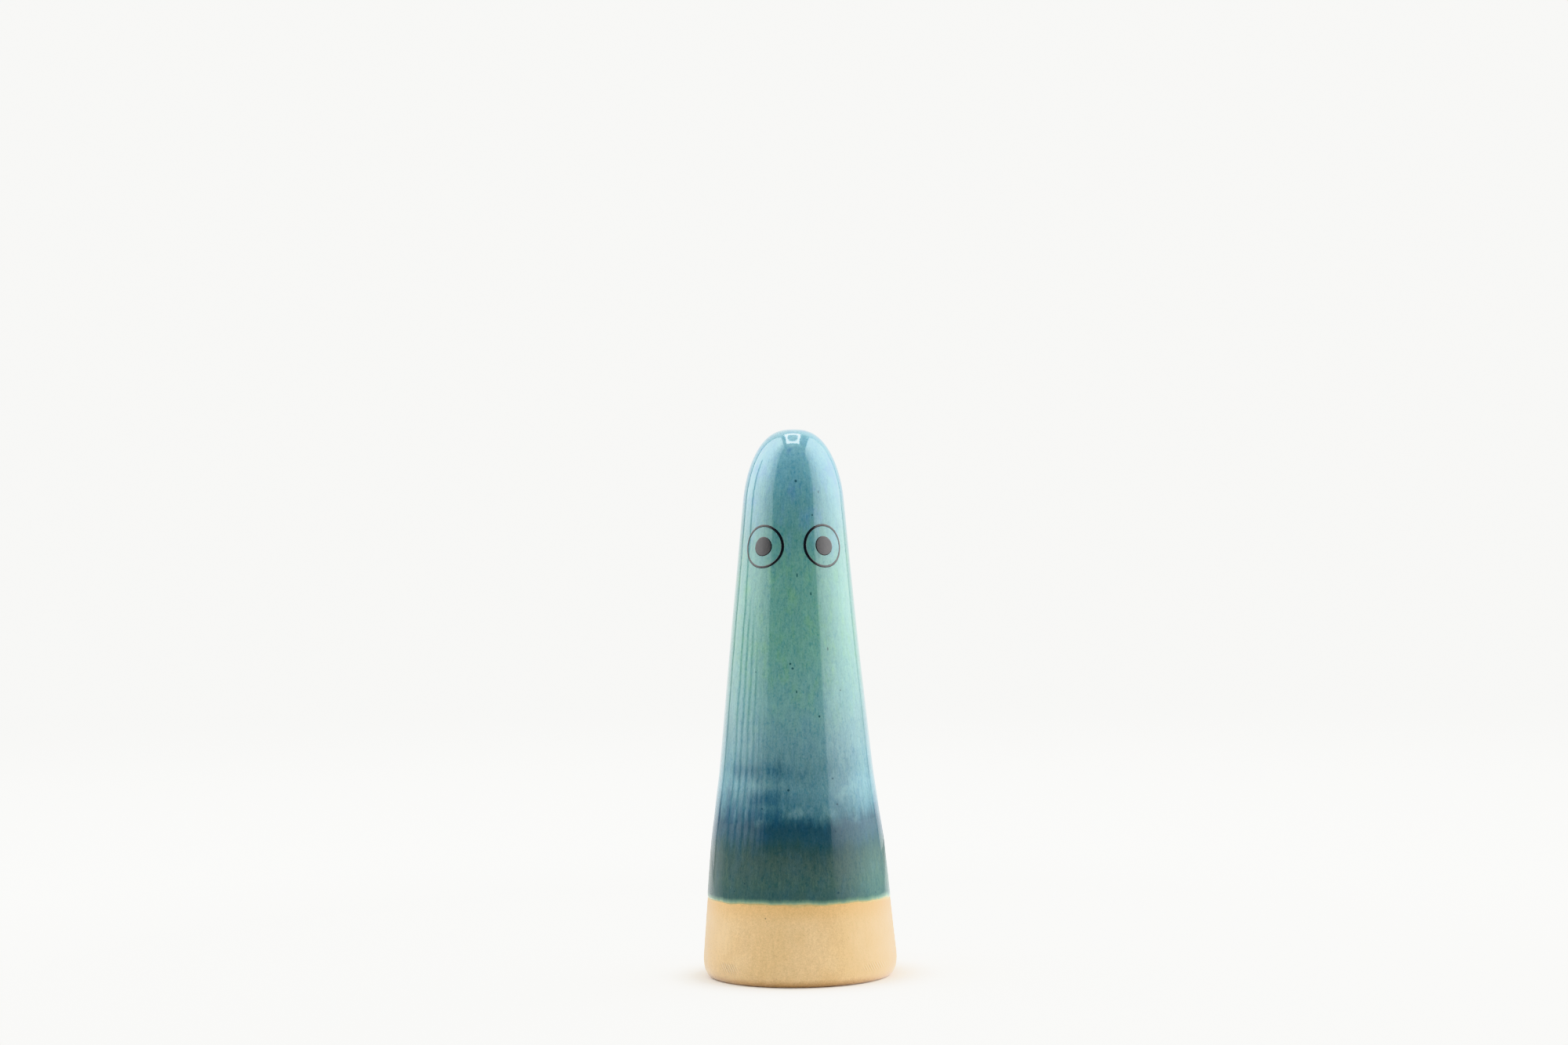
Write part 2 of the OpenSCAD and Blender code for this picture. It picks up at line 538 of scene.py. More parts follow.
def overlap_marks(n, colour, height, runs, cloud):
    """Dark smudges and pale wisps where the two coats overlap, with streaky edges."""
    ragged = n.math("ADD", n.swing(runs, 0.7), n.swing(cloud, 1.0))
    overlap = n.band(height, 28 * MM, 33 * MM, 44 * MM, 54 * MM)
    swirl = n.noise((300, 300, 190), 4, 0.65)
    dark = n.math("MULTIPLY", n.ramp(swirl, 0.50, 0.70), overlap)
    smudges = n.patches(SMUDGES, ragged, -0.1)
    dark = n.math("MAXIMUM", n.math("MULTIPLY", dark, 0.45), smudges)
    colour = n.mix(n.math("MULTIPLY", dark, 0.6), colour, SMUDGE)
    pale = n.ramp(n.noise((520, 520, 150), 4, 0.65), 0.54, 0.72)
    pale = n.math("MULTIPLY", pale, overlap)
    pale = n.math("MULTIPLY", pale, n.ramp(height, 33 * MM, 37 * MM))
    wisps = n.patches(WISPS, ragged, 0.1)
    wisps = n.math("MULTIPLY", wisps, n.ramp(swirl, 0.35, 0.62))
    pale = n.math("MAXIMUM", n.math("MULTIPLY", pale, 0.7), wisps)
    return n.mix(n.math("MULTIPLY", pale, 0.26), colour, WISP)


def grain(n, colour):
    """Mottle from millimetres across down to the finest vertical grain."""
    mottle = n.noise((620, 620, 240), 3, 0.6)
    colour = n.tint(colour, n.swing(mottle, 1), (0.22, 0.13, 0.0))
    freckle = n.ramp(n.noise((1700, 1700, 950), 3, 0.6), 0.48, 0.72)
    colour = n.tint(colour, freckle, (-0.26, -0.14, -0.08))
    streak = n.noise((2300, 2300, 260), 3, 0.6)
    colour = n.tint(colour, n.swing(streak, 1), (0.26, 0.20, 0.18))
    finest = n.noise((5200, 5200, 2400), 2)
    return n.tint(colour, n.swing(finest, 1), (0.30, 0.25, 0.24))


def pinholes(n, colour, largest):
    """Scattered pinholes, and the largest ones in their own places."""
    holes = n.math("MAXIMUM", n.specks(190, 0.02 * MM, 0.24 * MM), n.patches(largest))
    return n.mix(n.math("MULTIPLY", holes, 0.74), colour, PINHOLE)


def over_glaze():
    n, colour = glaze("blue_green_glaze", PINHOLES)
    set_gloss(n, n.ramp(n.z, 34 * MM, 52 * MM, 0.5, 1.0))
    return n.finish(colour, 0.14)


def base_glaze():
    """The lower coat: its rim thins to light green over the clay, under a darker pooled band."""
    showing = [hole for hole in PINHOLES if hole[1] < BASE_SHOWS_TO]
    n, colour = glaze("dark_green_glaze", showing)
    wander = n.swing(n.noise((900, 900, 300), 3), 0.35 * MM)
    rise = n.math("ADD", n.rise(), wander)
    pool = n.band(rise, 0.7 * MM, 1.3 * MM, 2.2 * MM, 4.2 * MM)
    colour = n.mix(n.math("MULTIPLY", pool, 0.15), colour, POOLED)
    # Painted light: the coat is lighter towards +X, where the right-hand lights fall on it
    colour = n.tint(colour, n.ramp(n.x, 9 * MM, 19 * MM), (0.0, 0.12, 0.08))
    colour = n.mix(n.ramp(rise, 0.1 * MM, 1.3 * MM, 0.85, 0), colour, GREEN_RIM)
    colour = n.mix(n.ramp(rise, -0.1 * MM, 0.55 * MM, 0.85, 0), colour, THIN_RIM)
    set_gloss(n, 0.6)
    return n.finish(colour, 0.2)


def set_gloss(n, coat, tint=GLAZE_GLOSS_TINT, coat_roughness=0.03):
    """A glassy coat over the shader; coat is a share of it, or a socket that gives one."""
    n.shader.inputs["IOR"].default_value = GLAZE_IOR
    n.shader.inputs["Specular Tint"].default_value = tint
    n.link(coat, n.shader.inputs["Coat Weight"])
    n.shader.inputs["Coat Roughness"].default_value = coat_roughness
    n.shader.inputs["Coat IOR"].default_value = GLAZE_IOR


# ---------------------------------------------------------------- clay

# The largest iron specks in the clay: azimuth, height, half width, half height
CLAY_SPECKS = (
    (-29, 13.4, 0.26, 0.26),
    (19, 13.3, 0.2, 0.2),
    (45, 13.6, 0.26, 0.26),
    (12, 8, 0.2, 0.2),
    (28, 8, 0.24, 0.2),
    (15, 2.2, 0.28, 0.24),
)
# Fine slanting ridges that a trimming tool left near the foot: azimuth, height, half width and
# half height of each patch of them, then their spacing, and their lean in mm per mm of height
CHATTER = (
    (-44, 3.6, 3.4, 1.2),
    (50, 3.6, 4.5, 1.0),
)
CHATTER_STEP = 0.52 * MM
CHATTER_LEAN = 0.45

BUFF = rgb(227, 194, 142)
PALE_BUFF = rgb(231, 200, 151)
OCHRE = rgb(225, 184, 122)
GLAZE_STAIN = rgb(186, 178, 124)
# Painted shade for the foot's bottom edge
PAINTED_FOOT_SHADE = rgb(196, 152, 100)
IRON = rgb(112, 86, 62)
CLAY_IOR = 1.5


def clay():
    """Sandy buff stoneware, ochre under the glaze line, with iron specks and faint tool marks."""
    n = Nodes("bare_clay")
    sand = n.noise((3600, 3600, 3600), 3, 0.65)
    coarse = n.noise((1300, 1300, 1300), 2, 0.55)
    blotch = n.noise((170, 170, 120), 3, 0.55)
    rise = n.math("ADD", n.rise(), n.swing(blotch, 1.5 * MM))
    colour = n.mix(n.ramp(blotch, 0.35, 0.65), BUFF, PALE_BUFF)
    colour = n.mix(n.ramp(rise, -5 * MM, -0.5 * MM, 0, 0.75), colour, OCHRE)
    stain = n.ramp(n.math("ABSOLUTE", rise), 0.0, 0.45 * MM, 0.45, 0.0)
    colour = n.mix(stain, colour, GLAZE_STAIN)
    # Painted shade: darker brown towards the bottom edge, where the foot meets the floor
    colour = n.mix(n.ramp(n.z, 0.0, 2.0 * MM, 0.9, 0.0), colour, PAINTED_FOOT_SHADE)
    colour = n.tint(colour, n.swing(sand, 1), (0.26, 0.28, 0.32))
    colour = n.tint(colour, n.swing(coarse, 1), (0.10, 0.11, 0.13))
    throwing = n.noise((1500, 1500, 160), 2)
    colour = n.tint(colour, n.swing(throwing, 1), (0.07, 0.08, 0.10))
    specks = n.math("MAXIMUM", n.specks(260, 0.10 * MM, 0.26 * MM), n.patches(CLAY_SPECKS))
    colour = n.mix(n.math("MULTIPLY", specks, 0.6), colour, IRON)
    marks = chatter_marks(n, blotch)
    colour = n.tint(colour, marks, (0.09, 0.09, 0.10))
    n.shader.inputs["IOR"].default_value = CLAY_IOR
    n.shader.inputs["Sheen Weight"].default_value = 0.7
    n.shader.inputs["Sheen Roughness"].default_value = 0.45
    bumps = [(sand, 0.7, 0.08 * MM), (coarse, 0.5, 0.12 * MM), (marks, 0.9, 0.07 * MM)]
    return n.finish(colour, n.ramp(sand, 0.3, 0.7, 0.72, 0.60), bumps)


def chatter_marks(n, blotch):
    """Ridges as waves between -1 and 1, only inside their patches."""
    slant = n.math("MULTIPLY_ADD", n.z, CHATTER_LEAN, n.x)
    ridges = n.math("SINE", n.math("MULTIPLY", slant, 2 * math.pi / CHATTER_STEP))
    return n.math("MULTIPLY", ridges, n.patches(CHATTER, n.swing(blotch, 1)))


def decal():
    """Fired black enamel, a little uneven, under the same gloss as the glaze."""
    n = Nodes("black_decal")
    uneven = n.noise((3600, 3600, 3600), 3, 0.6)
    colour = n.mix(n.ramp(uneven, 0.35, 0.7), rgb(17, 26, 32), rgb(45, 46, 47))
    set_gloss(n, 0.9, tint=(1, 0.92, 0.9, 1), coat_roughness=0.12)
    return n.finish(colour, 0.25, [(uneven, 0.2, 0.02 * MM)])


# ---------------------------------------------------------------- pieces


# Wander of the two dip lines: size, turns round the figure, height per radian, phase
BASE_WANDER = (
    (0.22 * MM, 1, 1, 2.6),
    (0.16 * MM, 2, 1, 0.7),
    (0.10 * MM, 5, 1, 3.3),
    (0.07 * MM, 11, 1, 1.1),
    (0.04 * MM, 23, 1, 5.2),
)
OVER_WANDER = (
    (0.5 * MM, 1, 1, 0.9),
    (0.4 * MM, 3, 1, 2.2),
    (0.3 * MM, 7, 1, 4.5),
    (0.15 * MM, 15, 1, 0.3),
)

# The vent hole's outline, down from the hollow's floor to the resting face, as (radius, height)
VENT_OUTLINE = (
    (VENT_R + 0.5 * MM, FLOOR_T),
    (VENT_R, FLOOR_T - 0.5 * MM),
    (VENT_R, 0.5 * MM),
    (VENT_R + 0.15 * MM, 0.15 * MM),
    (VENT_R + 0.5 * MM, 0),
)
# Circles of points on the resting face
RESTING_RADII = (8 * MM, 12 * MM, 16 * MM, 18.6 * MM)
# Rows of points round the foot's edge, then steps between rows: up to CLOSE_ROWS_TO, above it
# under the glaze, and in the hollow
EDGE_ROWS = 13
CLOSE_ROWS_TO = 19 * MM
CLOSE_STEP = 0.5 * MM
WIDE_STEP = 2 * MM
HOLLOW_STEP = 3 * MM


def clay_body():
    """The whole clay solid: hollow, vent hole, resting face, foot edge and outside."""
    az = azimuths(AROUND)
    inner = skin_heights(FLOOR_T + HOLLOW_CORNER, CLAY_TOP, HOLLOW_STEP)
    rings = [skin(az, np.full_like(az, z), -WALL) for z in inner[::-1]]
    corner_r = float(clay_radius(FLOOR_T + HOLLOW_CORNER)) - WALL - HOLLOW_CORNER
    outline = []
    for turn in np.radians((72, 54, 36, 18, 0)):
        r = corner_r + HOLLOW_CORNER * math.sin(turn)
        outline.append((r, FLOOR_T + HOLLOW_CORNER * (1 - math.cos(turn))))
    outline += VENT_OUTLINE
    outline += [(r, 0) for r in RESTING_RADII]
    for r, z in outline:
        rings.append(np.stack([r * np.sin(az), -r * np.cos(az), np.full_like(az, z)], axis=-1))
    hidden_count = len(rings) * AROUND + 1
    turn = np.linspace(0, math.pi / 2, EDGE_ROWS + 1)[:-1]
    edge = EDGE_H * (1 - np.cos(turn))
    close = np.arange(EDGE_H, CLOSE_ROWS_TO, CLOSE_STEP)
    outer = np.concatenate([edge, close, skin_heights(CLOSE_ROWS_TO, CLAY_TOP, WIDE_STEP)])
    rings += [skin(az, np.full_like(az, z), 0) for z in outer]
    obj = closed_strip("clay_body", rings, (0, 0, CLAY_TOP - WALL), (0, 0, CLAY_TOP))
    line = BASE_LINE + waves(az, 0, BASE_WANDER)
    below = np.concatenate([z - line for z in outer])
    return tag_rise(obj, [*np.full(hidden_count, -BASE_LINE), *below, 0])


# Step between rows of points up a glaze coat, and how far above its lip its wander dies out
COAT_STEP = 0.55 * MM
WANDER_FADE = 6 * MM


def coat(name, line, wander, lip, under, full, lip_rise):
    """One glaze coat: a closed shell from its wandering line up over the crown.

    lip lists (height above the line, share of the full thickness) up its edge, and lip_rise is
    the height above the line where the coat's even rows start.
    """
    az = azimuths(AROUND)
    shift = waves(az, 0, wander)
    above = skin_heights(line + lip_rise, CLAY_TOP, COAT_STEP)
    fade = np.clip(1 - (above - line - lip_rise) / WANDER_FADE, 0, 1)
    inner = [skin(az, z + shift * f, under) for z, f in zip(above[::-2], fade[::-2])]
    edge = [skin(az, line + rise + shift, under + share * full) for rise, share in lip]
    outer = [skin(az, z + shift * f, under + full) for z, f in zip(above, fade)]
    start, end = (0, 0, CLAY_TOP + under), (0, 0, CLAY_TOP + under + full)
    obj = closed_strip(name, inner + edge + outer, start, end)
    rises = [*(above[::-2] - line), *(rise for rise, _ in lip), *(above - line)]
    top = CLAY_TOP - line
    return tag_rise(obj, [top, *np.repeat(rises, AROUND), top])


# Lip of the lower coat: a rounded edge on the clay, a slight swell, then even rows from here up
ROLLED_LIP = tuple(
    (0.3 * MM * (1 - math.cos(t)), 0.8 * math.sin(t)) for t in np.linspace(0, math.pi / 2, 6)
) + ((0.6 * MM, 1.0), (1.2 * MM, 1.05))
ROLLED_RISE = 1.8 * MM
# Lip of the upper coat: it starts sunk in the coat below and comes out of it over this height
FEATHER = 11 * MM
FEATHERED_LIP = tuple(
    (FEATHER * t, 1.3 * t * t * (3 - 2 * t) - 0.3) for t in np.linspace(0, 0.95, 20)
)

# Decals: their height over the glaze and their depth in it, and the points round them
DECAL_TOP = 0.05 * MM
DECAL_SUNK = -0.05 * MM
DECAL_AROUND = 160
# Passes that bring a decal's points onto the uneven skin
DROP_PASSES = 12
# Rows across a decal: (share of the way from its inner edge or centre, share of its height)
RING_ROWS = (
    (0, 0),
    (0.03, 0.6),
    (0.1, 1),
    (0.3, 1),
    (0.5, 1),
    (0.7, 1),
    (0.9, 1),
    (0.97, 0.6),
    (1, 0),
)
DOT_ROWS = (
    (0.15, 1),
    (0.3, 1),
    (0.45, 1),
    (0.6, 1),
    (0.75, 1),
    (0.9, 1),
    (0.97, 1),
    (0.99, 0.6),
    (1, 0),
)


def eye_frame(node):
    """Centre, sideways, upward and outward directions of an eye, from its CAD pupil."""
    low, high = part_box(node)
    middle = (low + high) / 2
    azimuth = math.atan2(middle.x, -middle.y)
    z = float(middle.z)
    away, up = (float(v) for v in outline_normal(np.array(z)))
    outward = np.array([away * math.sin(azimuth), -away * math.cos(azimuth), up])
    sideways = np.array([math.cos(azimuth), math.sin(azimuth), 0])
    centre = skin(np.array(azimuth), np.array(z - up * GLAZE_T), GLAZE_T)
    return centre, sideways, np.cross(outward, sideways) * -1, outward


def drop_on_skin(points, outward, out):
    """Moves points along the outward direction until they lie on the glazed skin, then out."""
    moved = points.copy()
    for _ in range(DROP_PASSES):
        z = moved[..., 2]
        azimuth = np.arctan2(moved[..., 0], -moved[..., 1])
        away, up = outline_normal(z)
        on = skin(azimuth, z - up * GLAZE_T, GLAZE_T)
        gap = np.hypot(on[..., 0], on[..., 1]) - np.hypot(moved[..., 0], moved[..., 1])
        moved = moved + gap[..., None] * outward
    return moved + np.asarray(out)[..., None] * outward


def eye_mark(name, node, inner_r, outer_r, wobble, thin=0.0):
    """A thin mark on the skin at a pupil's node: a ring, or a dot where inner_r is 0.

    thin moves a ring's inner edge out at its +X side and in at its other side.
    """
    centre, side, up, outward = eye_frame(node)
    turn = azimuths(DECAL_AROUND)
    uneven = waves(turn, 0, wobble)
    dot = inner_r == 0
    rings = []
    for share, lift in DOT_ROWS if dot else RING_ROWS:
        r = inner_r + (outer_r - inner_r) * share + uneven * (share if dot else 1)
        r = r + thin * np.cos(turn) * (1 - share)
        flat = centre + r[:, None] * (np.cos(turn)[:, None] * side + np.sin(turn)[:, None] * up)
        rings.append(drop_on_skin(flat, outward, np.full_like(turn, DECAL_TOP * lift)))
    rings.append(rings[-1] + outward * DECAL_SUNK)
    if dot:
        start = drop_on_skin(centre[None, :], outward, np.array([DECAL_TOP]))[0]
        end = drop_on_skin(centre[None, :], outward, np.array([DECAL_SUNK]))[0]
        return closed_strip(name, rings, start, end)
    rings.append(rings[0] + outward * DECAL_SUNK)
    return closed_loop(name, rings)


def closed_loop(name, rings):
    """A closed band from rings of points whose last joins the first."""
    count = rings[0].shape[0]
    points = [tuple(p) for ring in rings for p in ring]
    faces = []
    for i in range(len(rings)):
        a, b = i * count, (i + 1) % len(rings) * count
        for k in range(count):
            n = (k + 1) % count
            faces.append((a + k, a + n, b + n, b + k))
    return new_object(name, points, faces)


clay_material = clay()
dark_glaze = base_glaze()
light_glaze = over_glaze()
decal_material = decal()

add_piece(clay_body(), clay_material, "clay", "stoneware_body")
base = coat("base_glaze_coat", BASE_LINE, BASE_WANDER, ROLLED_LIP, 0, BASE_T, ROLLED_RISE)
add_piece(base, dark_glaze, "dark_glaze", "base_glaze")
over = coat("over_glaze_coat", OVER_LINE, OVER_WANDER, FEATHERED_LIP, BASE_T, OVER_T, FEATHER)
add_piece(over, light_glaze, "light_glaze", "over_glaze")

RING_R = (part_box("left_eye_ring")[1].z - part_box("left_eye_ring")[0].z) / 2
PUPIL_R = (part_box("left_pupil")[1].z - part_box("left_pupil")[0].z) / 2
# Width of the drawn ring's line, and how much thinner it is on the side of the head
RING_LINE = 0.51 * MM
RING_THIN = 0.07 * MM
# Unevenness of the hand-drawn circles, in the terms of waves()
EYE_WOBBLE = {
    "left": ((0.05 * MM, 2, 1, 0.5), (0.03 * MM, 3, 1, 1.5)),
    "right": ((0.05 * MM, 2, 1, 2.5), (0.03 * MM, 3, 1, 0.2)),
}
for side, outer_side in (("left", 1), ("right", -1)):
    pupil = f"{side}_pupil"
    ring = f"{side}_eye_ring"
    wobble = EYE_WOBBLE[side]
    thin = RING_THIN * outer_side
    mark = eye_mark(f"{ring}_decal", pupil, RING_R - RING_LINE, RING_R, wobble, thin)
    add_piece(mark, decal_material, "decal", ring)
    mark = eye_mark(f"{pupil}_decal", pupil, 0, PUPIL_R, wobble)
    add_piece(mark, decal_material, "decal", pupil)


# ---------------------------------------------------------------- camera

# The camera looks level along +Y, a little to the figure's own right and rolled slightly
CAMERA_PLACE = (-2.2 * MM, -660 * MM, 99.5 * MM)
CAMERA_ROLL = math.radians(0.82)
LENS = 68.8
SENSOR_WIDTH = 36

camera = bpy.data.objects.new("camera", bpy.data.cameras.new("camera"))
camera.data.lens = LENS
camera.data.sensor_width = SENSOR_WIDTH
camera.data.clip_start = 0.01
camera.data.clip_end = 20
camera.location = CAMERA_PLACE
camera.rotation_euler = (math.pi / 2, CAMERA_ROLL, 0)
scene.collection.objects.link(camera)
scene.camera = camera


# ---------------------------------------------------------------- studio

BACKGROUND = rgb(246, 246, 244)
# Brightness that the background and the far floor share
BACKGROUND_GLOW = 1.6
# Light from all round: even white on matt surfaces, and a dim cool one in the gloss
SOFT_LIGHT, SOFT_GLOW = (1, 1, 1, 1), 0.32
GLOSS_LIGHT, GLOSS_GLOW = (0.9, 0.95, 1, 1), 0.15


def world():
    """Pale for the camera, soft all round for the matt surfaces and dim for the gloss."""
    sky = bpy.data.worlds.new("studio")
    scene.world = sky
    sky.use_nodes = True
    tree = sky.node_tree
    tree.nodes.clear()
    path = tree.nodes.new("ShaderNodeLightPath")

    def background(colour, strength):
        node = tree.nodes.new("ShaderNodeBackground")
        node.inputs["Color"].default_value = colour
        node.inputs["Strength"].default_value = strength
        return node.outputs[0]

    def choose(ray, without, with_it):
        node = tree.nodes.new("ShaderNodeMixShader")
        tree.links.new(path.outputs[ray], node.inputs[0])
        tree.links.new(without, node.inputs[1])
        tree.links.new(with_it, node.inputs[2])
        return node.outputs[0]

    matt = background(SOFT_LIGHT, SOFT_GLOW)
    unseen = choose("Is Glossy Ray", matt, background(GLOSS_LIGHT, GLOSS_GLOW))
    final = choose("Is Camera Ray", unseen, background(BACKGROUND, BACKGROUND_GLOW))
    out = tree.nodes.new("ShaderNodeOutputWorld")
    tree.links.new(final, out.inputs["Surface"])


def look_along(aim):
    """Rotation that turns a light's -Z to the aim, keeping its local Y as upright as it can."""
    return Vector(aim).to_track_quat("-Z", "Y").to_euler()


def panel(name, centre, facing, width, height, radiance, diffuse=False, glossy=False):
    """A flat soft light. facing is the direction that it shines in; radiance is its brightness.

    diffuse and glossy say whether it lights the matt colour and whether the gloss mirrors it.
    """
    data = bpy.data.lights.new(name, "AREA")
    data.shape = "RECTANGLE"
    data.size, data.size_y = width, height
    data.energy = radiance * width * height * math.pi
    obj = bpy.data.objects.new(name, data)
    obj.location = centre
    obj.rotation_euler = look_along(facing)
    obj.visible_camera = False
    obj.visible_diffuse = diffuse
    obj.visible_glossy = glossy
    scene.collection.objects.link(obj)
    return obj


class Glow(Nodes):
    """A light's own nodes, which make it uneven. across and up run from 0 to 1 over the panel."""

    def __init__(self, obj):
        obj.data.use_nodes = True
        self.tree = obj.data.node_tree
        self.shader = next(n for n in self.tree.nodes if n.type == "EMISSION")
        place = self.add("ShaderNodeNewGeometry").outputs["Parametric"]
        split = self.add("ShaderNodeSeparateXYZ")
        self.link(place, split.inputs[0])
        self.across, self.up, _ = split.outputs

    def levels(self, value, stops):
        """Brightness by value; stops are (position, share of the full brightness)."""
        greys = [(position, (level, level, level, 1)) for position, level in stops]
        return self.colour_ramp(value, greys, "EASE")


# The light tent is open in front. Its walls' height, and where the side walls meet the back one
WALL_HEIGHT = 0.9
LEFT_CORNER = Vector((-0.30, 0.297, 0))
RIGHT_CORNER = Vector((0.45, 0.475, 0))
# The dark seams: how far the side walls stop short of the corners, and the back wall at each end
SEAM = 0.016
BACK_LEFT_GAP = 1.6 * SEAM
BACK_RIGHT_GAP = 2.2 * SEAM
# Where the side walls' front edges are, and how bright the walls are at their brightest
LEFT_FRONT = -0.285
RIGHT_FRONT = -0.43
SIDE_RADIANCE = 3.5
BACK_RADIANCE = 0.85

# Brightness up the side walls: (height, share)
LEFT_RISE = (
    (0, 0.0),
    (0.03, 0.0),
    (0.05, 0.16),
    (0.07, 0.4),
    (0.11, 0.56),
    (0.157, 0.82),
    (0.3, 1.0),
    (0.9, 1.0),
)
RIGHT_RISE = (
    (0, 0.08),
    (0.03, 0.18),
    (0.055, 0.33),
    (0.08, 0.53),
    (0.124, 0.8),
    (0.18, 0.97),
    (0.9, 1.0),
)
# Brightness along the side walls: (distance behind y = -BEHIND, share)
BEHIND = 0.5
LEFT_ALONG = (
    (0.21, 0.36),
    (0.27, 0.42),
    (0.33, 0.58),
    (0.41, 0.88),
    (0.5, 1.0),
    (0.6, 0.88),
    (0.72, 0.72),
    (0.8, 0.66),
)
RIGHT_ALONG = (
    (0.07, 0.4),
    (0.15, 0.5),
    (0.24, 0.67),
    (0.37, 0.88),
    (0.5, 0.95),
    (0.63, 0.88),
    (0.82, 0.66),
    (0.95, 0.55),
)
# Light that the floor throws on the walls' feet, as along
LEFT_FOOT = ((0.57, 0.0), (0.64, 0.1), (0.72, 0.16), (0.8, 0.2))
RIGHT_FOOT = ((0.6, 0.0), (0.75, 0.08), (0.9, 0.16), (1.0, 0.2))
# Creases in the left wall: (y, height of the top)
LEFT_FOLDS = (
    (0.081, 0.3),
    (0.006, 0.118),
    (-0.058, 0.117),
    (-0.121, 0.115),
    (-0.188, 0.107),
    (-0.25, 0.112),
)
# A crease is dark out to the first half width and gone at the second
CREASE_HALVES = (0.005, 0.021)
# Heights about its top where it starts to fade and is gone
CREASE_FADE = (-0.018, 0.006)
# How far it wavers to either side, slowly and quickly
CREASE_SWAY = 0.0045
CREASE_RIPPLE = 0.0025


def wall(name, x, front, back, rise, along, foot, folds=()):
    """A side wall of the light tent, from its front edge to its back corner.

    rise, along, foot and folds are lists like the ones above.
    """
    centre = (x, (front + back) / 2, WALL_HEIGHT / 2)
    width = back - front
    sides = (width, WALL_HEIGHT)
    glow = Glow(panel(name, centre, (-x, 0, 0), *sides, SIDE_RADIANCE, diffuse=True, glossy=True))
    if x < 0:
        y = glow.math("MULTIPLY_ADD", glow.across, -width, back)
    else:
        y = glow.math("MULTIPLY_ADD", glow.across, width, front)
    height = glow.math("MULTIPLY", glow.up, WALL_HEIGHT)
    place = glow.math("ADD", y, BEHIND)
    level = glow.math("MAXIMUM", glow.levels(height, rise), glow.levels(place, foot))
    level = glow.math("MULTIPLY", level, glow.levels(place, along))
    for fold_y, top in folds:
        kept = glow.math("SUBTRACT", 1.0, crease(glow, y, height, fold_y, top))
        level = glow.math("MULTIPLY", level, kept)
    glow.link(level, glow.shader.inputs["Strength"])


def crease(glow, y, height, fold_y, top):
    """1 along an upright crease that wavers, up to its top, and 0 away from it.

    The waves' radians per metre of height depend on its place, so that no two creases match.
    """
    sway = glow.math("SINE", glow.math("MULTIPLY", height, 200 + 900 * abs(fold_y)))
    ripple = glow.math("SINE", glow.math("MULTIPLY", height, 620 - 700 * abs(fold_y)))
    line = glow.math("MULTIPLY_ADD", ripple, CREASE_RIPPLE, fold_y)
    line = glow.math("MULTIPLY_ADD", sway, CREASE_SWAY, line)
    off = glow.math("ABSOLUTE", glow.math("SUBTRACT", y, line))
    dark = glow.ramp(off, *CREASE_HALVES, 1.0, 0.0)
    fade, gone = (top + step for step in CREASE_FADE)
    return glow.math("MULTIPLY", dark, glow.ramp(height, fade, gone, 1.0, 0.0))


def back_wall():
    """The wall behind the figure, from seam to seam between the side walls' corners."""
    across = RIGHT_CORNER - LEFT_CORNER
    across.normalize()
    start = LEFT_CORNER + across * BACK_LEFT_GAP
    end = RIGHT_CORNER - across * BACK_RIGHT_GAP
    centre = (start + end) / 2 + Vector((0, 0, WALL_HEIGHT / 2))
    facing = Vector((across.y, -across.x, 0))
    width = (end - start).length
    panel("back_wall", centre, facing, width, WALL_HEIGHT, BACK_RADIANCE, glossy=True)


DOWN = (0, 0, -1)
# The square lamp overhead: its centre, sides and brightness
LAMP_HEIGHT = 0.75
LAMP_CENTRE = (0, 0.075, LAMP_HEIGHT)
LAMP_SIDES = (0.31, 0.47)
LAMP_RADIANCE = 12
# Where its dim middle ends and its bright frame starts, as shares of its sides from the centre
LAMP_MIDDLE = 0.35
LAMP_FRAME = 0.40
# The middle's share of the frame's brightness
LAMP_DIM = 0.07


def ring_lamp():
    """A bright square frame with rounded corners inside, round a dim middle."""
    glow = Glow(panel("ring_lamp", LAMP_CENTRE, DOWN, *LAMP_SIDES, LAMP_RADIANCE, glossy=True))
    x = glow.math("SUBTRACT", glow.across, 0.5)
    y = glow.math("SUBTRACT", glow.up, 0.5)
    x3 = glow.math("POWER", glow.math("ABSOLUTE", x), 3.0)
    y3 = glow.math("POWER", glow.math("ABSOLUTE", y), 3.0)
    reach = glow.math("POWER", glow.math("ADD", x3, y3), 1 / 3)
    level = glow.ramp(reach, LAMP_MIDDLE, LAMP_FRAME, LAMP_DIM, 1.0)
    glow.link(level, glow.shader.inputs["Strength"])


# A fill for the matt surfaces from behind on the right, and the thin rail in front of the lamp
FILL_PLACE, FILL_AIM = (0.28, 0.21, 0.2), (-0.28, -0.21, -0.08)
FILL_SIDES, FILL_RADIANCE = (0.3, 0.4), 3.0
RAIL_PLACE = (-0.02, -0.25, LAMP_HEIGHT)
RAIL_SIDES, RAIL_RADIANCE = (0.17, 0.016), 3.2

world()
left_end, right_end = LEFT_CORNER.y - SEAM, RIGHT_CORNER.y - SEAM
left_lists = (LEFT_RISE, LEFT_ALONG, LEFT_FOOT, LEFT_FOLDS)
wall("left_wall", LEFT_CORNER.x, LEFT_FRONT, left_end, *left_lists)
wall("right_wall", RIGHT_CORNER.x, RIGHT_FRONT, right_end, RIGHT_RISE, RIGHT_ALONG, RIGHT_FOOT)
back_wall()
panel("right_fill", FILL_PLACE, FILL_AIM, *FILL_SIDES, FILL_RADIANCE, diffuse=True)
ring_lamp()
panel("lamp_rail", RAIL_PLACE, DOWN, *RAIL_SIDES, RAIL_RADIANCE, glossy=True)


# Radii of the floor that the gloss mirrors and of the whole floor, and the points round them
NEAR_FLOOR = 0.36
FAR_FLOOR = 12
FLOOR_AROUND = 96
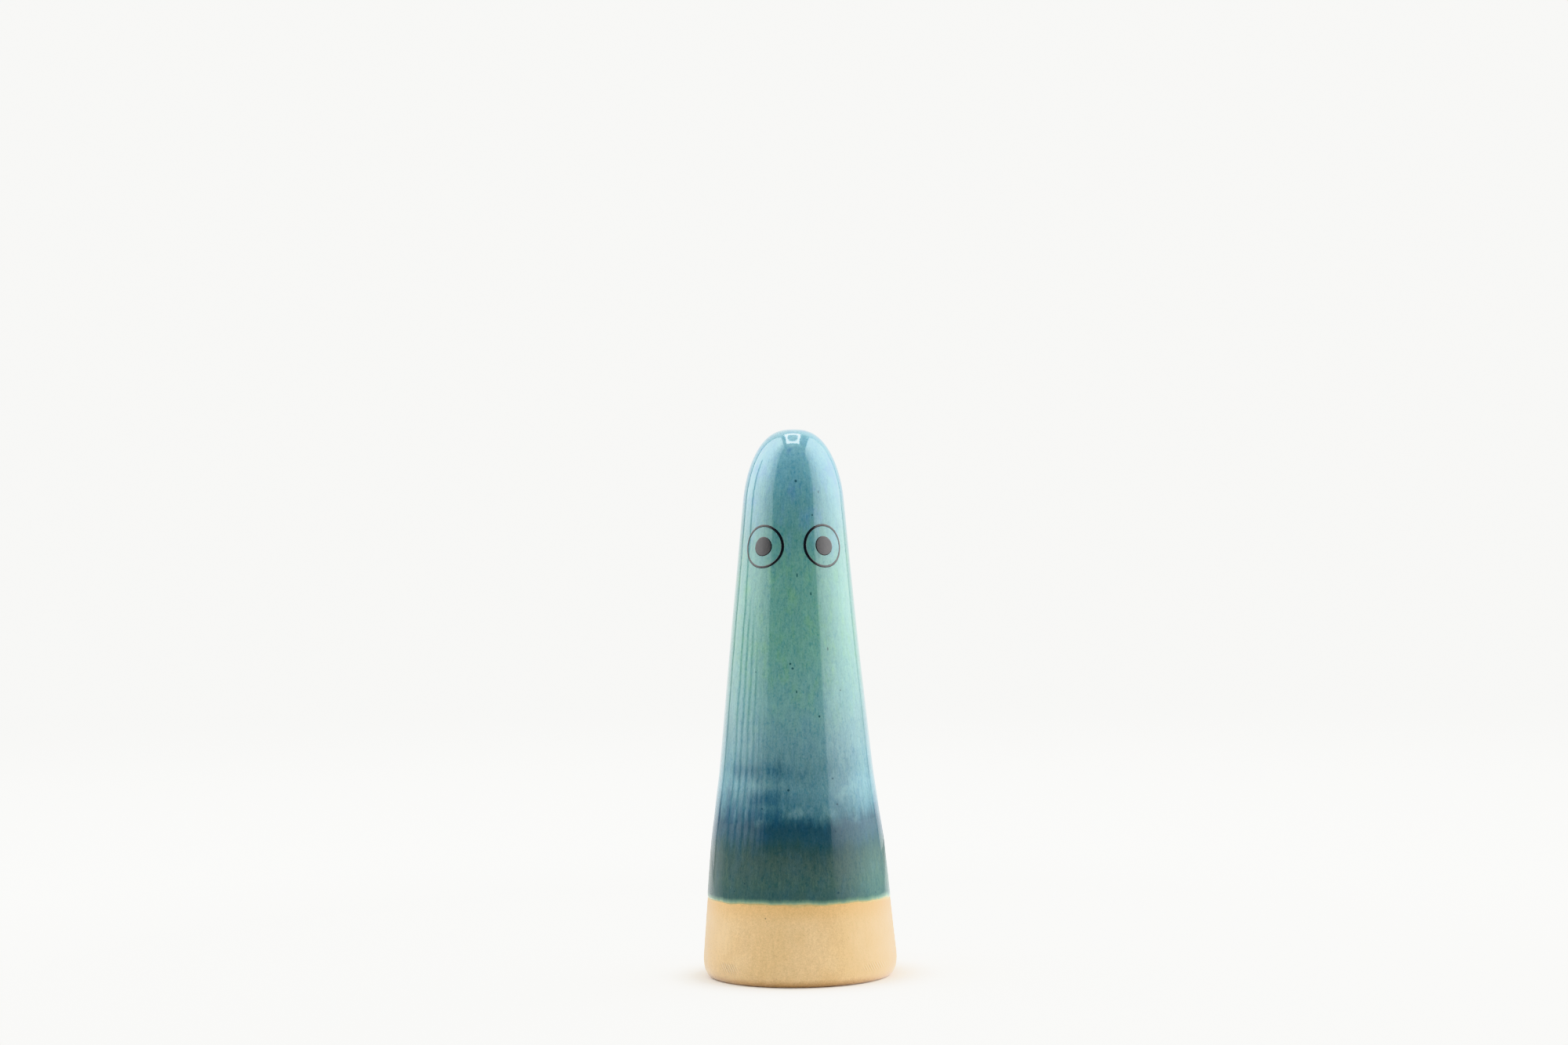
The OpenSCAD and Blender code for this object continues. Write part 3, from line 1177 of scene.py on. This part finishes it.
# The paper that the camera sees is brighter than the one that lights the figure and its gloss
PAPER_GLOW = 2.3
BOUNCE_GLOW = 0.9
BOUNCE_DEPTH = 0.1 * MM
PAPER = rgb(238, 238, 236)
# Distances from the axis between which the foot's shade lightens, and then dies out, and between
# which the glow goes from its near brightness to its far one
FOOT_SHADE = (0.0195, 0.033)
WIDE_SHADE = (0.03, 0.28)
GLOW_CHANGE = (0.15, 1.0)


def floor_material(name, glow_near, glow_far, open_share):
    """Pale paper that the figure shades, mixed with an even glow of its own.

    The glow's share grows from 0 at the foot to open_share just round it and 1 farther out.
    """
    n = Nodes(name)
    n.link(PAPER, n.shader.inputs["Base Color"])
    n.shader.inputs["Roughness"].default_value = 0.9
    n.shader.inputs["Specular IOR Level"].default_value = 0.1
    reach = n.vector("LENGTH", n.place)
    glow = n.add("ShaderNodeEmission")
    glow.inputs["Color"].default_value = BACKGROUND
    n.link(n.ramp(reach, *GLOW_CHANGE, glow_near, glow_far), glow.inputs["Strength"])
    close = n.ramp(reach, *FOOT_SHADE, 0.0, open_share)
    share = n.math("MAXIMUM", close, n.ramp(reach, *WIDE_SHADE))
    blend = n.add("ShaderNodeMixShader")
    n.link(share, blend.inputs[0])
    n.link(n.shader.outputs[0], blend.inputs[1])
    n.link(glow.outputs[0], blend.inputs[2])
    n.link(blend.outputs[0], n.tree.nodes["Material Output"].inputs["Surface"])
    return n.material


def floor_part(name, z, rings, material, seen, lights, mirrored):
    """A flat piece of floor between two circles, or inside one; rings are their radii.

    seen: the camera shows it. lights: it lights matt surfaces. mirrored: the gloss shows it.
    """
    count = FLOOR_AROUND
    turn = azimuths(count)
    points = [(r * math.cos(t), r * math.sin(t), z) for r in rings for t in turn]
    if len(rings) == 1:
        faces = [tuple(range(count))]
    else:
        faces = [(k, (k + 1) % count, count + (k + 1) % count, count + k) for k in range(count)]
    mesh = bpy.data.meshes.new(name)
    mesh.from_pydata(points, [], faces)
    mesh.materials.append(material)
    obj = bpy.data.objects.new(name, mesh)
    obj.visible_camera = seen
    obj.visible_diffuse = lights
    obj.visible_glossy = mirrored
    obj.visible_shadow = False
    scene.collection.objects.link(obj)


paper = floor_material("pale_floor", PAPER_GLOW, BACKGROUND_GLOW, 0.6)
bounce = floor_material("floor_bounce", BOUNCE_GLOW, BOUNCE_GLOW, 0.0)
floor_part("floor", 0, (FAR_FLOOR,), paper, True, False, False)
floor_part("near_bounce", -BOUNCE_DEPTH, (NEAR_FLOOR,), bounce, False, True, True)
floor_part("far_bounce", -BOUNCE_DEPTH, (NEAR_FLOOR, FAR_FLOOR), bounce, False, True, False)
